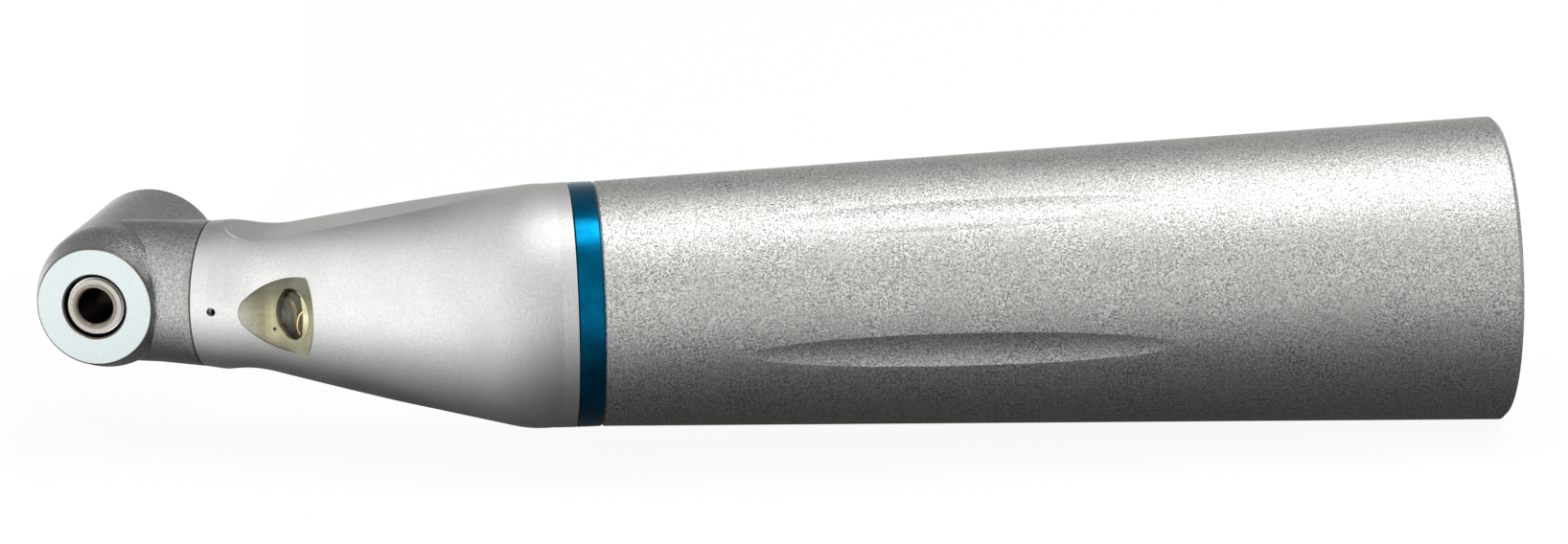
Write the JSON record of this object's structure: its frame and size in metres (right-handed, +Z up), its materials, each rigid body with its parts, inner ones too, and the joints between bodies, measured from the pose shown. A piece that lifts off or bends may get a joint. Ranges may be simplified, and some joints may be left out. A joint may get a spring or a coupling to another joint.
{
  "type": "electric contra-angle dental handpiece",
  "caption": "Bent dental handpiece: tapered grip on a motor socket, coloured ring, lit neck and a push-button bur head.",
  "frame": {"origin": "on the handle's axis in the mouth of the motor socket, where its straight wall starts", "axes": "+X along the handle's axis out of the motor socket, away from the head; -Y the side that the bur leaves on; +Z up, with the handpiece lying on its side"},
  "size_m": [0.0958, 0.0288, 0.02],
  "materials": {
    "blasted_steel": "bead-blasted satin",
    "satin_steel": "satin",
    "dark_blasted_steel": "bead-blasted, darker",
    "polished_steel": "polished",
    "gear_steel": "ground",
    "bearing_steel": "ground and polished",
    "blue_anodised": "anodised, glossy",
    "magnet": "nickel-plated magnet",
    "copper": "enamelled copper winding",
    "resin": "amber translucent resin",
    "gilt": "gilt",
    "chip": "phosphor-coated chip",
    "lens_glass": "clear",
    "seal_rubber": "matt",
    "wire_red": "insulated wire"
  },
  "bodies": {
    "handpiece": {"rear_sleeve": "blasted_steel", "coupling_body": "polished_steel", "socket_snap_ring": "gear_steel", "sleeve_seal": "seal_rubber", "shaft_tube": "satin_steel", "generator_core": "gear_steel", "generator_coil": "copper", "socket_bearing_outer_race": "bearing_steel", "ring_bearing_outer_race": "bearing_steel", "neck_bearing_outer_race": "bearing_steel", "nose_bearing_outer_race": "bearing_steel", "face_bearing_outer_race": "bearing_steel", "chuck_bearing_outer_race": "bearing_steel", "neck_frame": "satin_steel", "color_ring": "blue_anodised", "front_sleeve": "satin_steel", "light_window": "resin", "lamp_cup": "gilt", "lamp_chip": "chip", "lamp_lens": "lens_glass", "lamp_leads": "wire_red", "spray_tube": "satin_steel", "head_housing": "dark_blasted_steel", "head_cap": "dark_blasted_steel", "bearing_retainer": "gear_steel", "button_spring": "gear_steel"},
    "rear_shaft": {"rear_shaft": "gear_steel", "drive_dog": "gear_steel", "generator_magnet": "magnet", "rear_shaft_gear": "gear_steel", "socket_bearing_inner_race": "bearing_steel", "ring_bearing_inner_race": "bearing_steel"},
    "front_shaft": {"front_shaft": "gear_steel", "front_shaft_gear": "gear_steel", "head_pinion": "gear_steel", "neck_bearing_inner_race": "bearing_steel", "nose_bearing_inner_race": "bearing_steel"},
    "spindle": {"spindle": "polished_steel", "spindle_gear": "gear_steel", "spindle_collar": "polished_steel", "chuck_collet": "gear_steel", "face_bearing_inner_race": "bearing_steel", "chuck_bearing_inner_race": "bearing_steel"},
    "push_button": {"push_button": "polished_steel", "button_pin": "polished_steel"},
    "chuck_pusher": {"chuck_pusher": "gear_steel"}
  },
  "joints": [
    {"name": "rear_shaft_spin", "type": "hinge", "parent": "handpiece", "child": "rear_shaft", "pos_m": [0, 0, 0], "axis": [1, 0, 0], "continuous": true},
    {"name": "front_shaft_spin", "type": "hinge", "parent": "handpiece", "child": "front_shaft", "pos_m": [-0.06281, 0, 0], "axis": [0.9511, -0.309, 0], "continuous": true},
    {"name": "spindle_spin", "type": "hinge", "parent": "handpiece", "child": "spindle", "pos_m": [-0.0902, 0.0089, 0], "axis": [-0.309, -0.9511, 0], "continuous": true},
    {"name": "push_button_press", "type": "slide", "parent": "handpiece", "child": "push_button", "axis": [-0.309, -0.9511, 0], "range_m": [0, 0.0008], "stiffness_N_per_m": 1500, "deforming": ["button_spring"]},
    {"name": "chuck_pusher_press", "type": "slide", "parent": "spindle", "child": "chuck_pusher", "axis": [-0.309, -0.9511, 0], "range_m": [0, 0.0006]}
  ],
  "couplings": [
    {"joint": "front_shaft_spin", "follows": "rear_shaft_spin", "ratio": 1},
    {"joint": "spindle_spin", "follows": "rear_shaft_spin", "ratio": 1},
    {"joint": "chuck_pusher_press", "follows": "push_button_press", "ratio": 0.75}
  ]
}
